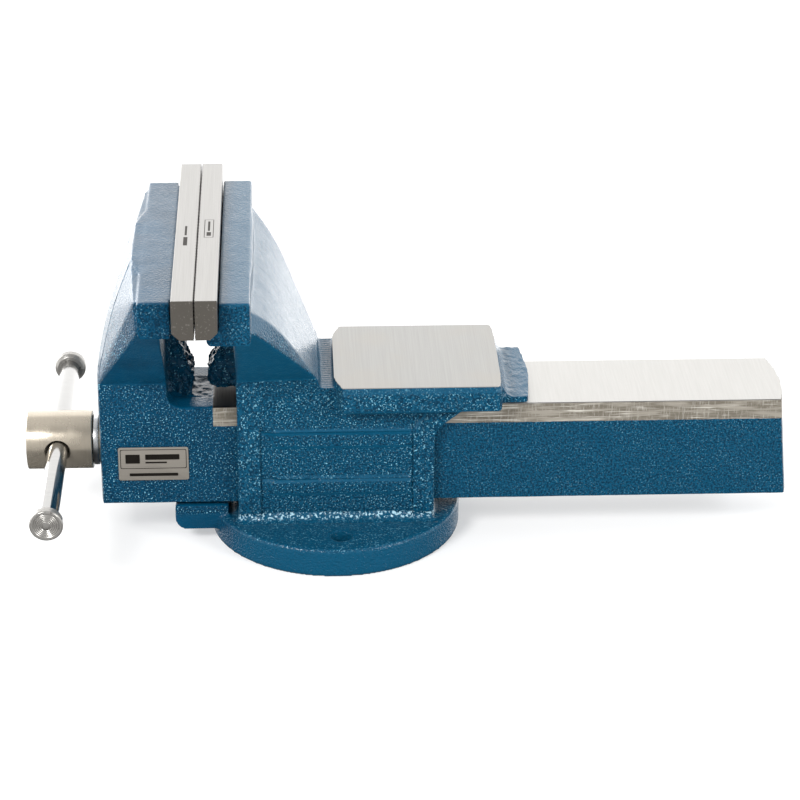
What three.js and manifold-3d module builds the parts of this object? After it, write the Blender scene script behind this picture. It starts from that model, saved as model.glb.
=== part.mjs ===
// Bench vise with 200 mm jaws, shown closed. Millimetres, +Z up. The origin is the centre of the
// base's underside, +X runs along the beam to its tail, and the handle bar lies along Y.
import * as THREE from "three";
import { ConvexGeometry } from "three/addons/geometries/ConvexGeometry.js";
import { ParametricGeometry } from "three/addons/geometries/ParametricGeometry.js";
import { mergeVertices } from "three/addons/utils/BufferGeometryUtils.js";
import Module from "manifold-3d";

// ---- driving dimensions -------------------------------------------------------------------
const GAP = 0.3; // between pieces that touch
const LEAD = 6; // spindle travel per turn

const BASE = { radius: 71, height: 16.7, edge: 1.2, holeRadius: 5.75, holeX: 2.4, holeY: 53.4 };
const BEAM = { half: 27.7, bottom: 25, top: 84.3, tailX: 248.1, tailLean: 5.4, tailBulge: 3.6 };
const CHANNEL = { half: 18.2, top: 70.5, frontX: -106, endX: 237 };
const BLOCK = { frontX: -130.6, dome: 1.8, backX: -92.9, top: 99, cornerRadius: 7 };
const TUNNEL = { half: 28, bottom: 24.65, top: 84.65 };
const BODY = { frontX: -54.8, backX: 55, half: 32.4, rimHalf: 34, ribHalf: 33.4, top: 102.5 };
const PANEL = { frontX: -41.2, backX: 42 };
const SHELF = { frontX: -8.6, top: 98 };
const ANVIL = { topHalf: 41.6, half: 43.2, bottom: 86.4, chamferZ: 97.7, top: 101.25, rearFlare: 1.3 };
const HOOD = { frontX: 86, backX: 109.4, half: 33.5, bottom: 86.9, top: 91.4, corner: 2 };
const FIXED_HEAD = { seatX: -61.7, backX: -45, half: 90, bottom: 148.7, top: 173.3, round: 2 };
const MOVING_HEAD = { frontX: -104.5, seatX: -86.4, half: 88, bottom: 152.4, top: 173.4, round: 3 };
const PLATE = { half: 100, thick: 11.85, bottom: 157.3, top: 179.4, chamfer: 3.8, partingX: -74.03 };
const PLATE_SCREW = { y: 62, z: 166.5, shank: 4, hole: 4.4, head: 6.2, headDeep: 6, tipDeep: 11.5 };
const NAMEPLATE = { frontX: -121, backX: -82, bottom: 40.3, top: 60.5, thick: 0.7, corner: 1 };

const SPINDLE = { z: 52.5, headX: -173, shoulderX: -136.2, headRadius: 16.5, bar: 6.3, barX: -155.5 };
const SHANK = { radius: 13, threadX: 2, threadEnd: 230, tipX: 233.5, neck: 9.6 };
const THREAD = { root: 10.4, crest: 13, flankStart: 0, crestStart: 0.13, crestEnd: 0.5, flankEnd: 0.63 };
const NUT_CLEARANCE = { radial: 0.9, axial: 0.075 }; // mm, and a share of the lead
const THREAD_SIDES = 12;
const COLLAR = { frontX: -135.7, backX: -132.75, radius: 14.5, bore: 13.5 };
const SPRING = { frontX: -105.2, backX: -70.4, radius: 15.4, wire: 1.5, turns: 5 };
const SPRING_WASHER = { frontX: -70, backX: -67.6, radius: 17.2, bore: 13.5 };
const CROSS_PIN = { x: -64.8, radius: 2.3, hole: 2.6, half: 16.6, chamfer: 0.8 };

const NUT = { frontX: 8, backX: 50, half: 17.3, bottom: 24.95 };
const NUT_BOLT = { x: [18, 42], shank: 5, seatZ: 10, tipZ: 36, hexRadius: 9.4, headHigh: 6.2 };
const BOLT_HOLE = { body: 5.5, nut: 5.3, deepTo: 37, counterbore: 10.6 };
const BOLT_WASHER = { radius: 10, bore: 5.4, thick: 2 };

const BAR = { radius: 5.8, nearY: -97.8, farY: 94.3, spigot: 3.2, nearEnd: -104.5, farEnd: 101 };
const KNOB = { radius: 9, thick: 6.5, bore: 3.5, round: 0.7 };

// ---- outlines, as [x, z] unless said otherwise -----------------------------------------------
const BODY_SIDE = [
  [BODY.frontX, 12], [BODY.backX, 12], [BODY.backX, 68], [57.6, 72.6], [71.1, 83], [78, 90],
  [78, 95], [-0.8, 95], [-0.8, SHELF.top], [SHELF.frontX, SHELF.top], [-9.3, BODY.top],
  [BODY.frontX, BODY.top],
];
const REAR_RIM = [
  [PANEL.backX, 12], [BODY.backX, 12], [BODY.backX, 68], [57.6, 72.6], [71.1, 83], [78, 90],
  [49, 90], [48.4, 82.2], [47.1, 77.7], [43.8, 73.1], [PANEL.backX, 70.7],
];
const FIXED_RIB = [
  [-54, 87.2], [-66.8, 87.2], [-70.6, 88.5], [-72.4, 94.6], [-71.6, 99.6], [-68.2, 105.6],
  [-66.2, 110.5], [-64, 114.7], [-63.4, 128], [-66, 150], [-54, 150],
];
const MOVING_RIB = [
  [-93.4, 84], [-78.6, 84], [-77.4, 92.4], [-76.9, 97.2], [-79.7, 102.5], [-82, 110], [-85.2, 117],
  [-87, 126], [-88, 153], [-93.4, 153],
];
const RIB_HALF = 11.5;
const PANEL_RIBS = [[61.6, 70.8], [32.5, 42]]; // bottom and top of each raised rib
const LUG = [[-90.6, 23.5, 1.5], [-90.6, 12.5, 2.5], [-86.5, 8.2, 2.5], [-60, 8.2], [-60, 23.5]];
// Back slope of the fixed jaw, as [x, half width, z] from the top down.
const BACK_SLOPE = [
  [-44, 74.7, 161.2], [-35.6, 65.9, 151.9], [-27.9, 57, 140], [-18.2, 41.5, 120], [-9.3, 29.5, 101.2],
];
const FIXED_FLARE = [
  [BODY.frontX, 34, BODY.top], [-9.6, 32.5, BODY.top], [BODY.frontX, 85, 153.8],
  [-44.4, 85, 153.8], [-35.5, 73.6, 142.3], [-22.2, 54, 122.6], [BODY.frontX, 74.7, 161.2],
];
// Front crease of the moving jaw, as [x, half width, z] from the bottom up, and the dome between.
const FRONT_CREASE = [
  [BLOCK.frontX, 27.7, BLOCK.top], [-129.4, 27.7, 107.9], [-126, 27, 122.9], [-120.8, 26.6, 143.6],
  [-115.4, 26, 158.3], [-109.9, 25, 172],
];
const FRONT_DOME = [[-131.9, 0, 100], [-130.9, 0, 107.4], [-122.6, 0, 140.6], [-110.2, 0, 172]];
const MOVING_FLARE = [
  [BLOCK.backX, 27.7, BLOCK.top], [-105.7, 80, 150.8], [-106.2, 80, 171], [-93.2, 80, 150.8],
  [-93.2, 80, 171],
];
// Anvil outline as [x, share of the half width].
const ANVIL_PLAN = [
  [3.3, 1], [0.4, 0.79], [-0.8, 0.66], [88.4, 1], [90.2, 0.95], [91, 0.6], [91.3, 0],
];

// ---- geometry helpers --------------------------------------------------------------------------
const wasm = await Module();
wasm.setup();
const MERGE = 1e-4;
const UP = new THREE.Vector3(0, 0, 1);
const ALONG_X = new THREE.Vector3(1, 0, 0);
const ALONG_Y = new THREE.Vector3(0, 1, 0);

// A closed three.js geometry as a solid for joining and cutting.
function solid(geometry) {
  const bare = geometry.clone();
  bare.deleteAttribute("normal");
  bare.deleteAttribute("uv");
  const merged = mergeVertices(bare, MERGE);
  const corners = merged.index.array;
  const kept = [];
  for (let i = 0; i < corners.length; i += 3) {
    const [a, b, c] = corners.slice(i, i + 3);
    if (a !== b && b !== c && c !== a) kept.push(a, b, c);
  }
  return new wasm.Manifold(
    new wasm.Mesh({
      numProp: 3,
      vertProperties: merged.attributes.position.array,
      triVerts: new Uint32Array(kept),
    }),
  );
}

// A solid back as a geometry with flat faces.
function geometryOf(body) {
  const mesh = body.getMesh();
  const geometry = new THREE.BufferGeometry();
  geometry.setAttribute("position", new THREE.BufferAttribute(mesh.vertProperties, 3));
  geometry.setIndex(new THREE.BufferAttribute(mesh.triVerts, 1));
  const flat = geometry.toNonIndexed();
  flat.computeVertexNormals();
  return flat;
}

function box(x0, x1, y0, y1, z0, z1) {
  const geometry = new THREE.BoxGeometry(x1 - x0, y1 - y0, z1 - z0);
  geometry.translate((x0 + x1) / 2, (y0 + y1) / 2, (z0 + z1) / 2);
  return solid(geometry);
}

// A closed outline of [a, b, radius] points; a radius rounds that corner.
function outline(points) {
  const shape = new THREE.Shape();
  points.forEach(([a, b, radius = 0], i) => {
    const corner = new THREE.Vector2(a, b);
    const last = new THREE.Vector2(...points.at(i - 1).slice(0, 2));
    const next = new THREE.Vector2(...points[(i + 1) % points.length].slice(0, 2));
    const enter = last.sub(corner).setLength(radius).add(corner);
    const leave = next.sub(corner).setLength(radius).add(corner);
    if (i === 0) shape.moveTo(enter.x, enter.y);
    else shape.lineTo(enter.x, enter.y);
    if (radius > 0) shape.quadraticCurveTo(a, b, leave.x, leave.y);
  });
  shape.closePath();
  return shape;
}

function extrude(points, depth, curveSegments = 4) {
  return new THREE.ExtrudeGeometry(outline(points), { depth, curveSegments, bevelEnabled: false });
}

// An outline in x and z, carried from y0 to y1.
function prismAlongY(points, y0, y1) {
  const geometry = extrude(points, y1 - y0);
  geometry.rotateX(Math.PI / 2);
  geometry.translate(0, y1, 0);
  return solid(geometry);
}

// An outline in y and z, carried from x0 to x1.
function prismAlongX(points, x0, x1) {
  const geometry = extrude(points, x1 - x0);
  geometry.applyMatrix4(new THREE.Matrix4().makeBasis(ALONG_Y, UP, ALONG_X));
  geometry.translate(x0, 0, 0);
  return solid(geometry);
}

// An outline in x and y, carried from z0 to z1.
function prismAlongZ(points, z0, z1) {
  const geometry = extrude(points, z1 - z0);
  geometry.translate(0, 0, z0);
  return solid(geometry);
}

// Points along the smooth curve through a few stations.
function smoothed(stations, steps = 14) {
  const curve = new THREE.CatmullRomCurve3(stations.map((station) => new THREE.Vector3(...station)));
  return curve.getPoints(steps).map((point) => point.toArray());
}

// The hull of [x, y, z] points and their mirror images across the plane y = 0.
function mirroredHull(points) {
  const both = points.flatMap(([x, y, z]) => [new THREE.Vector3(x, y, z), new THREE.Vector3(x, -y, z)]);
  return solid(new ConvexGeometry(both));
}

// A turned solid: [radius, distance] points from axis to axis, about an axis through the origin.
function turned(profile, direction, sides = 32) {
  const points = profile.map(([radius, distance]) => new THREE.Vector2(radius, distance));
  const geometry = new THREE.LatheGeometry(points, sides);
  geometry.applyQuaternion(new THREE.Quaternion().setFromUnitVectors(ALONG_Y, direction));
  const made = solid(geometry);
  if (made.volume() > 0) return made;
  return solid(new THREE.LatheGeometry(points.reverse(), sides)
    .applyQuaternion(new THREE.Quaternion().setFromUnitVectors(ALONG_Y, direction)));
}

function rod(radius, from, to, direction, sides = 24) {
  return turned([[0, from], [radius, from], [radius, to], [0, to]], direction, sides);
}

function ring(outer, inner, from, to, direction, sides = 32) {
  return rod(outer, from, to, direction, sides).subtract(rod(inner, from - 1, to + 1, direction, sides));
}

// A threaded rod about X from x0 to x1: a grid of one turn by all the pitches, its rows following
// the thread's section, and each row's end joining the start of the row one pitch further on.
function threadedRod(x0, x1, root, crest, widen) {
  const section = [
    [THREAD.flankStart - widen, root],
    [THREAD.crestStart - widen, crest],
    [THREAD.crestEnd + widen, crest],
    [THREAD.flankEnd + widen, root],
  ];
  const firstTurn = Math.floor(x0 / LEAD) - 1;
  const lastTurn = Math.ceil(x1 / LEAD) + 1;
  const rows = (lastTurn - firstTurn) * section.length;
  const stacks = rows + 2;
  const place = (u, v, target) => {
    const row = Math.round(v * stacks) - 1;
    const angle = (u % 1) * 2 * Math.PI;
    let x = row < 0 ? x0 : x1;
    let radius = 0;
    if (row >= 0 && row <= rows) {
      const [share, sectionRadius] = section[row % section.length];
      x = (firstTurn + Math.floor(row / section.length) + u + share) * LEAD;
      radius = x <= x0 || x >= x1 ? root : sectionRadius;
      x = THREE.MathUtils.clamp(x, x0, x1);
    }
    target.set(x, radius * Math.cos(angle), radius * Math.sin(angle));
  };
  return solid(new ParametricGeometry(place, THREAD_SIDES, stacks));
}

const vise = new THREE.Group();

// Each sub-part becomes one named mesh with a material of its own.
function add(name, body, [color, roughness, metalness], parent = vise) {
  const material = new THREE.MeshStandardMaterial({ color, roughness, metalness });
  const mesh = new THREE.Mesh(geometryOf(body), material);
  mesh.name = name;
  parent.add(mesh);
}

const BLUE_PAINT = [0x0e4f76, 0.38, 0.25];
const GROUND_STEEL = [0xb9b3ab, 0.35, 0.9];
const SATIN_NICKEL = [0xc2b9a8, 0.3, 1];
const CHROME = [0xd0d2d4, 0.12, 1];
const BLACK_OXIDE = [0x26282b, 0.5, 0.7];
const ZINC = [0xa9adb0, 0.38, 0.9];
const CAST_IRON = [0x54565a, 0.7, 0.6];
const SPRING_STEEL = [0x5a5c60, 0.35, 0.9];
const BRUSHED_LABEL = [0xb4aca2, 0.4, 0.85];

// ---- the fixed jaw, its base and what is fastened to them ---------------------------------------
const sides = [-1, 1];
const fixedPlateFace = PLATE.partingX + GAP / 2;
const fixedPlateBack = fixedPlateFace + PLATE.thick;
const movingPlateFace = PLATE.partingX - GAP / 2;
const movingPlateBack = movingPlateFace - PLATE.thick;

function baseDisc() {
  const { radius, height, edge, holeRadius, holeX, holeY } = BASE;
  const disc = turned(
    [[0, 0], [radius - edge, 0], [radius, edge], [radius, height - edge], [radius - edge, height], [0, height]],
    UP, 72);
  return sides.reduce(
    (made, side) => made.subtract(rod(holeRadius, -1, height + 1, UP).translate([holeX, side * holeY, 0])),
    disc);
}

// The walls round the beam: a side outline, widened at the foot and towards the jaw's flare.
function bodyWalls() {
  const foot = BASE.height + 3;
  const right = [
    [BODY.half + 4, BASE.height - 2], [BODY.half + 4, BASE.height], [BODY.half, foot], [BODY.half, 84],
    [BODY.rimHalf, BODY.top + 1],
  ];
  const across = [...right, ...right.map(([y, z]) => [-y, z]).reverse()];
  const walls = prismAlongY(BODY_SIDE, -BODY.half - 5, BODY.half + 5)
    .intersect(prismAlongX(across, BODY.frontX - 1, 80));
  const rims = prismAlongY(REAR_RIM, -BODY.rimHalf, BODY.rimHalf)
    .add(box(BODY.frontX, PANEL.frontX, -BODY.rimHalf, BODY.rimHalf, BASE.height - 1, BODY.top));
  const ribs = PANEL_RIBS.map(([z0, z1]) => {
    const round = (z1 - z0) / 2 - 0.5;
    const bar = [[-36, z0, round], [PANEL.backX, z0], [PANEL.backX, z1], [-36, z1, round]];
    return prismAlongY(bar, -BODY.ribHalf, BODY.ribHalf);
  });
  return ribs.reduce((made, rib) => made.add(rib), walls.add(rims));
}

function anvil() {
  const { topHalf, half, bottom, chamferZ, top, rearFlare } = ANVIL;
  const slab = ANVIL_PLAN.flatMap(([x, share]) => {
    const low = x > BODY.backX ? x + rearFlare : x;
    return [[low, share * half, bottom], [low, share * half, chamferZ], [x, share * topHalf, top]];
  });
  const under = [[half - 1, bottom + 1], [BODY.half, 82], [-BODY.half, 82], [1 - half, bottom + 1]];
  const hood = [
    [HOOD.frontX, -HOOD.half], [HOOD.backX - 3, -HOOD.half, HOOD.corner], [HOOD.backX, 0, 8],
    [HOOD.backX - 3, HOOD.half, HOOD.corner], [HOOD.frontX, HOOD.half],
  ];
  const step = [[88, HOOD.bottom], [96.5, HOOD.top - 0.5], [94, 93.4], [92.5, 97], [88, 97]];
  return mirroredHull(slab)
    .add(prismAlongX(under, 4, 78))
    .add(prismAlongZ(hood, HOOD.bottom, HOOD.top))
    .add(prismAlongY(step, -HOOD.half + 1, HOOD.half - 1));
}

function fixedJawHead() {
  const { seatX, backX, half, bottom, top, round } = FIXED_HEAD;
  const section = [
    [seatX, bottom], [backX, bottom, round], [backX, top, round], [seatX, top],
  ];
  const lip = [
    [-67, bottom, 0.5], [-68.5, bottom + 2, 1], [-68.5, PLATE.bottom - GAP], [seatX, PLATE.bottom - GAP],
    [seatX + 1, PLATE.bottom], [seatX + 1, bottom],
  ];
  const bulge = [[-46, 70, 150], [-44, 35, 152], [-46, 70, 172], [-44, 35, 171.5]];
  return prismAlongY(section, -half, half)
    .add(prismAlongY(lip, -half, half))
    .add(mirroredHull(bulge))
    .add(mirroredHull([...smoothed(BACK_SLOPE), ...FIXED_FLARE]))
    .add(prismAlongY(FIXED_RIB, -RIB_HALF, RIB_HALF));
}

// Blind holes for the two screws of a jaw plate; the screws leave along `towards` from the plate.
function plateScrewHoles(plateBack, towards) {
  const { y, z, hole, tipDeep } = PLATE_SCREW;
  const ends = [plateBack - towards, plateBack + towards * (tipDeep + 1)].sort((a, b) => a - b);
  return sides.map((side) => rod(hole, ...ends, ALONG_X, 16).translate([0, side * y, z]))
    .reduce((a, b) => a.add(b));
}

function fixedBody() {
  const tunnel = box(BODY.frontX - 10, HOOD.backX + 5, -TUNNEL.half, TUNNEL.half, TUNNEL.bottom, TUNNEL.top);
  let made = baseDisc()
    .add(bodyWalls())
    .add(anvil())
    .add(prismAlongY(LUG, -BEAM.half, BEAM.half))
    .add(fixedJawHead())
    .subtract(tunnel)
    .subtract(plateScrewHoles(fixedPlateBack, 1));
  for (const x of NUT_BOLT.x) {
    made = made
      .subtract(rod(BOLT_HOLE.body, -1, TUNNEL.bottom + 1, UP).translate([x, 0, 0]))
      .subtract(rod(BOLT_HOLE.counterbore, -1, NUT_BOLT.seatZ, UP).translate([x, 0, 0]));
  }
  return made;
}

// A hardened jaw plate: its outer lower edge is chamfered and its screws sink into its face.
function jawPlate(face, back) {
  const outward = Math.sign(back - face);
  const { half, bottom, top, chamfer } = PLATE;
  const section = [[face, bottom], [face, top], [back, top], [back, bottom + chamfer],
    [back - outward * chamfer, bottom]];
  const plate = prismAlongY(outward > 0 ? section : section.reverse(), -half, half);
  const { y, z, hole, head, headDeep } = PLATE_SCREW;
  const spans = [
    [hole, face - outward, back + outward],
    [head + 0.5, face - outward, face + outward * (headDeep + 0.8)],
  ];
  return sides.reduce((made, side) => spans.reduce((part, [radius, from, to]) => {
    const ends = [from, to].sort((a, b) => a - b);
    return part.subtract(rod(radius, ...ends, ALONG_X).translate([0, side * y, z]));
  }, made), plate);
}

// A socket-head screw along X, its head just below the plate's face.
function plateScrew(face, back) {
  const outward = Math.sign(back - face);
  const { shank, head, headDeep, tipDeep } = PLATE_SCREW;
  const start = face + outward * 0.4;
  const seat = start + outward * headDeep;
  const tip = back + outward * tipDeep;
  const profile = [[0, start], [head - 0.5, start], [head, start + outward * 0.5], [head, seat], [shank, seat],
    [shank, tip - outward], [shank - 1, tip], [0, tip]];
  const socketEnds = [start - outward, start + outward * 3.5].sort((a, b) => a - b);
  return turned(profile, ALONG_X, 20).subtract(rod(3.2, ...socketEnds, ALONG_X, 6));
}

function addPlateAndScrews(jaw, face, back) {
  add(jaw + "_jaw_plate", jawPlate(face, back), GROUND_STEEL);
  [["near", -1], ["far", 1]].forEach(([where, side]) => {
    const screw = plateScrew(face, back).translate([0, side * PLATE_SCREW.y, PLATE_SCREW.z]);
    add(jaw + "_jaw_screw_" + where, screw, BLACK_OXIDE);
  });
}

// The nut: a round-topped block on the tunnel's floor, threaded for the spindle and tapped below.
function spindleNut() {
  const { frontX, backX, half, bottom } = NUT;
  let made = box(frontX, backX, -half, half, bottom, SPINDLE.z)
    .add(rod(half, frontX, backX, ALONG_X, 36).translate([0, 0, SPINDLE.z]));
  const bore = threadedRod(frontX - LEAD, backX + LEAD, THREAD.root + NUT_CLEARANCE.radial,
    THREAD.crest + NUT_CLEARANCE.radial, NUT_CLEARANCE.axial);
  made = made.subtract(bore.translate([0, 0, SPINDLE.z]));
  for (const x of NUT_BOLT.x) {
    made = made.subtract(rod(BOLT_HOLE.nut, bottom - 1, BOLT_HOLE.deepTo, UP).translate([x, 0, 0]));
  }
  return made;
}

function nutBolt() {
  const { shank, seatZ, tipZ, hexRadius, headHigh } = NUT_BOLT;
  const under = seatZ - 2 * GAP - BOLT_WASHER.thick;
  return rod(hexRadius, under - headHigh, under, UP, 6)
    .add(turned([[0, under - 1], [shank, under - 1], [shank, tipZ - 1], [shank - 1, tipZ], [0, tipZ]], UP, 20));
}

add("fixed_body", fixedBody(), BLUE_PAINT);
addPlateAndScrews("fixed", fixedPlateFace, fixedPlateBack);
add("spindle_nut", spindleNut(), CAST_IRON);
[["front", NUT_BOLT.x[0]], ["rear", NUT_BOLT.x[1]]].forEach(([where, x]) => {
  const top = NUT_BOLT.seatZ - GAP;
  const washer = ring(BOLT_WASHER.radius, BOLT_WASHER.bore, top - BOLT_WASHER.thick, top, UP, 24);
  add("nut_bolt_" + where, nutBolt().translate([x, 0, 0]), ZINC);
  add("nut_washer_" + where, washer.translate([x, 0, 0]), ZINC);
});

// ---- the moving jaw --------------------------------------------------------------------------------
// The plan arc of a face that bulges by `rise` at y = 0.
function bulgedEdge(x, half, rise, steps = 8) {
  return Array.from({ length: steps + 1 }, (_, i) => {
    const y = half * ((2 * i) / steps - 1);
    return [x + rise * (1 - (y / half) ** 2), y];
  });
}

function beam() {
  const tail = bulgedEdge(BEAM.tailX, BEAM.half, BEAM.tailBulge);
  const front = bulgedEdge(BLOCK.frontX, BEAM.half, -BLOCK.dome);
  const ends = [
    ...tail.map(([x, y]) => [x, y, BEAM.top]),
    ...tail.map(([x, y]) => [x + BEAM.tailLean, y, BEAM.bottom]),
    ...front.map(([x, y]) => [x, y, BEAM.top]),
    ...front.map(([x, y]) => [x, y, BEAM.bottom]),
  ];
  const block = [...front, [BLOCK.backX, BEAM.half], [BLOCK.backX, -BEAM.half]];
  const corner = [
    [BLOCK.backX - 1, BEAM.top - 1], [BLOCK.backX + BLOCK.cornerRadius, BEAM.top - 1],
    [BLOCK.backX + BLOCK.cornerRadius, BEAM.top], [BLOCK.backX + 2, BEAM.top + 2],
    [BLOCK.backX, BEAM.top + BLOCK.cornerRadius], [BLOCK.backX - 1, BEAM.top + BLOCK.cornerRadius],
  ];
  return mirroredHull(ends)
    .add(prismAlongZ(block.reverse(), BEAM.bottom, BLOCK.top))
    .add(prismAlongY(corner, -BEAM.half, BEAM.half));
}

function movingJawHead() {
  const { frontX, seatX, half, bottom, top, round } = MOVING_HEAD;
  const section = [[frontX, bottom, round], [seatX, bottom], [seatX, top], [frontX, top, 1.5]];
  const bulge = [[frontX + 1, 50, bottom], [-109.6, 25, bottom + 5], [frontX + 1, 50, top - 0.4],
    [-109.6, 25, top - 0.4]];
  const endRelief = sides.map((side) => box(
    seatX - 0.8, seatX + 1, Math.min(side * (half - 5), side * (half + 1)),
    Math.max(side * (half - 5), side * (half + 1)), bottom - 1, top + 1));
  return prismAlongY(section, -half, half)
    .subtract(endRelief[0].add(endRelief[1]))
    .add(mirroredHull(bulge))
    .add(mirroredHull([...smoothed(FRONT_CREASE), ...smoothed(FRONT_DOME), ...MOVING_FLARE]))
    .add(prismAlongY(MOVING_RIB, -RIB_HALF, RIB_HALF));
}

function movingJawBody() {
  const channel = box(CHANNEL.frontX, CHANNEL.endX, -CHANNEL.half, CHANNEL.half, BEAM.bottom - 5, CHANNEL.top);
  const bore = rod(SHANK.radius + 0.7, BLOCK.frontX - 10, CHANNEL.frontX + 5, ALONG_X, 32);
  return beam()
    .add(movingJawHead())
    .subtract(channel)
    .subtract(bore.translate([0, 0, SPINDLE.z]))
    .subtract(plateScrewHoles(movingPlateBack, -1));
}

function nameplate() {
  const { frontX, backX, bottom, top, thick, corner } = NAMEPLATE;
  const sheet = [[frontX, bottom, corner], [backX, bottom, corner], [backX, top, corner], [frontX, top, corner]];
  const back = -BEAM.half - GAP;
  return prismAlongY(sheet, back - thick, back);
}

add("moving_jaw_body", movingJawBody(), BLUE_PAINT);
addPlateAndScrews("moving", movingPlateFace, movingPlateBack);
add("nameplate", nameplate(), BRUSHED_LABEL);

// ---- the spindle, all about its own axis in a group at the spindle's height ---------------------------
const drive = new THREE.Group();
drive.position.set(0, 0, SPINDLE.z);
vise.add(drive);

function spindle() {
  const { headX, shoulderX, headRadius, bar, barX } = SPINDLE;
  const { radius, threadX, tipX, threadEnd, neck } = SHANK;
  const profile = [
    [0, headX], [headRadius - 2, headX], [headRadius, headX + 1.5], [headRadius, shoulderX - 0.6],
    [headRadius - 0.6, shoulderX], [radius, shoulderX], [radius, threadX - 1.5], [neck, threadX + 1],
    [neck, tipX - 0.5], [neck - 2.5, tipX], [0, tipX],
  ];
  return turned(profile, ALONG_X, 48)
    .add(threadedRod(threadX, threadEnd, THREAD.root, THREAD.crest, 0))
    .subtract(rod(bar, -headRadius - 5, headRadius + 5, ALONG_Y, 32).translate([barX, 0, 0]))
    .subtract(rod(CROSS_PIN.hole, -radius - 5, radius + 5, UP, 16).translate([CROSS_PIN.x, 0, 0]));
}

// The centre line of the compression spring round the spindle's shank.
class Helix extends THREE.Curve {
  getPoint(t, target = new THREE.Vector3()) {
    const angle = 2 * Math.PI * SPRING.turns * t;
    const x = THREE.MathUtils.lerp(SPRING.frontX + SPRING.wire, SPRING.backX - SPRING.wire, t);
    return target.set(x, SPRING.radius * Math.cos(angle), SPRING.radius * Math.sin(angle));
  }
}

function spring() {
  const section = new THREE.Shape().absarc(0, 0, SPRING.wire, 0, 2 * Math.PI);
  return solid(new THREE.ExtrudeGeometry(section, {
    steps: SPRING.turns * 16,
    curveSegments: 4,
    extrudePath: new Helix(),
  }));
}

function crossPin() {
  const { radius, half, chamfer } = CROSS_PIN;
  const profile = [[0, -half], [radius - chamfer, -half], [radius, chamfer - half], [radius, half - chamfer],
    [radius - chamfer, half], [0, half]];
  return turned(profile, UP, 14).translate([CROSS_PIN.x, 0, 0]);
}

add("spindle", spindle(), SATIN_NICKEL, drive);
add("thrust_collar", ring(COLLAR.radius, COLLAR.bore, COLLAR.frontX, COLLAR.backX, ALONG_X, 40), ZINC, drive);
add("return_spring", spring(), SPRING_STEEL, drive);
add("spring_washer", ring(SPRING_WASHER.radius, SPRING_WASHER.bore, SPRING_WASHER.frontX,
  SPRING_WASHER.backX, ALONG_X, 36), ZINC, drive);
add("cross_pin", crossPin(), SPRING_STEEL, drive);

// ---- the handle: a bar through the spindle's head with a knob riveted on each end --------------------
const handle = new THREE.Group();
handle.position.set(SPINDLE.barX, 0, 0);
drive.add(handle);

function handleBar() {
  const { radius, nearY, farY, spigot, nearEnd, farEnd } = BAR;
  return turned([
    [0, nearEnd], [spigot, nearEnd], [spigot, nearY], [radius - 0.5, nearY], [radius, nearY + 0.5],
    [radius, farY - 0.5], [radius - 0.5, farY], [spigot, farY], [spigot, farEnd], [0, farEnd],
  ], ALONG_Y, 28);
}

// A knob from its inner face at `inner` outwards along `side`.
function handleKnob(inner, side) {
  const { radius, thick, bore, round } = KNOB;
  const at = (share) => inner + side * thick * share;
  const profile = [
    [bore, at(0)], [radius - 0.8, at(0)], [radius, at(0.12)], [radius, at(1) - side * round],
    [radius - round * 0.3, at(1) - side * round * 0.3], [radius - round, at(1)], [bore, at(1)], [bore, at(0)],
  ];
  return turned(side > 0 ? profile : profile.reverse(), ALONG_Y, 32);
}

add("handle_bar", handleBar(), CHROME, handle);
add("handle_knob_near", handleKnob(BAR.nearY - GAP, -1), SATIN_NICKEL, handle);
add("handle_knob_far", handleKnob(BAR.farY + GAP, 1), SATIN_NICKEL, handle);

export default vise;
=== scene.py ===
"""The looks of a bench vise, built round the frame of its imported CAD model.

Lengths are in millimetres and go through MM where Blender needs metres. X runs from the handle
to the tail, Y from the near side to the far side, and Z up.
"""

import math

import bmesh
import bpy
import numpy as np
from mathutils import Matrix, Vector, noise


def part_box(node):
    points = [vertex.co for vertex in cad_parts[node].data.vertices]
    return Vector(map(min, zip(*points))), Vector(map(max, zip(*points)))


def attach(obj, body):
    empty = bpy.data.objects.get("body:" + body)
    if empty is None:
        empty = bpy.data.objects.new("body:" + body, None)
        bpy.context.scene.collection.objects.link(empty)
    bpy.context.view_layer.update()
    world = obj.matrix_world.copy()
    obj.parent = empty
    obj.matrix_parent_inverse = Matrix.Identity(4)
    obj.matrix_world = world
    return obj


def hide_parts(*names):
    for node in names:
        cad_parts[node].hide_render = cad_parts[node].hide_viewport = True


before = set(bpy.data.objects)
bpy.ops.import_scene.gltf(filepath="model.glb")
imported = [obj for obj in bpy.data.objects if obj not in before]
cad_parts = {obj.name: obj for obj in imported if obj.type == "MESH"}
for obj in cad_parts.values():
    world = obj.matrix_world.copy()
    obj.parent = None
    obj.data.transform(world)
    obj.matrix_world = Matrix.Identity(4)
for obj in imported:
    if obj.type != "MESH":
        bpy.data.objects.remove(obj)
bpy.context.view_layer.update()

MM = 0.001
FULL_TURN = 2 * math.pi

CAMERA = {
    "place": (-25.7, -1403.6, 743.0), "azimuth": 2.554, "elevation": 25.463, "roll": 0.28,
    "lens": 124.09, "sensor": 36,
}

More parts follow.
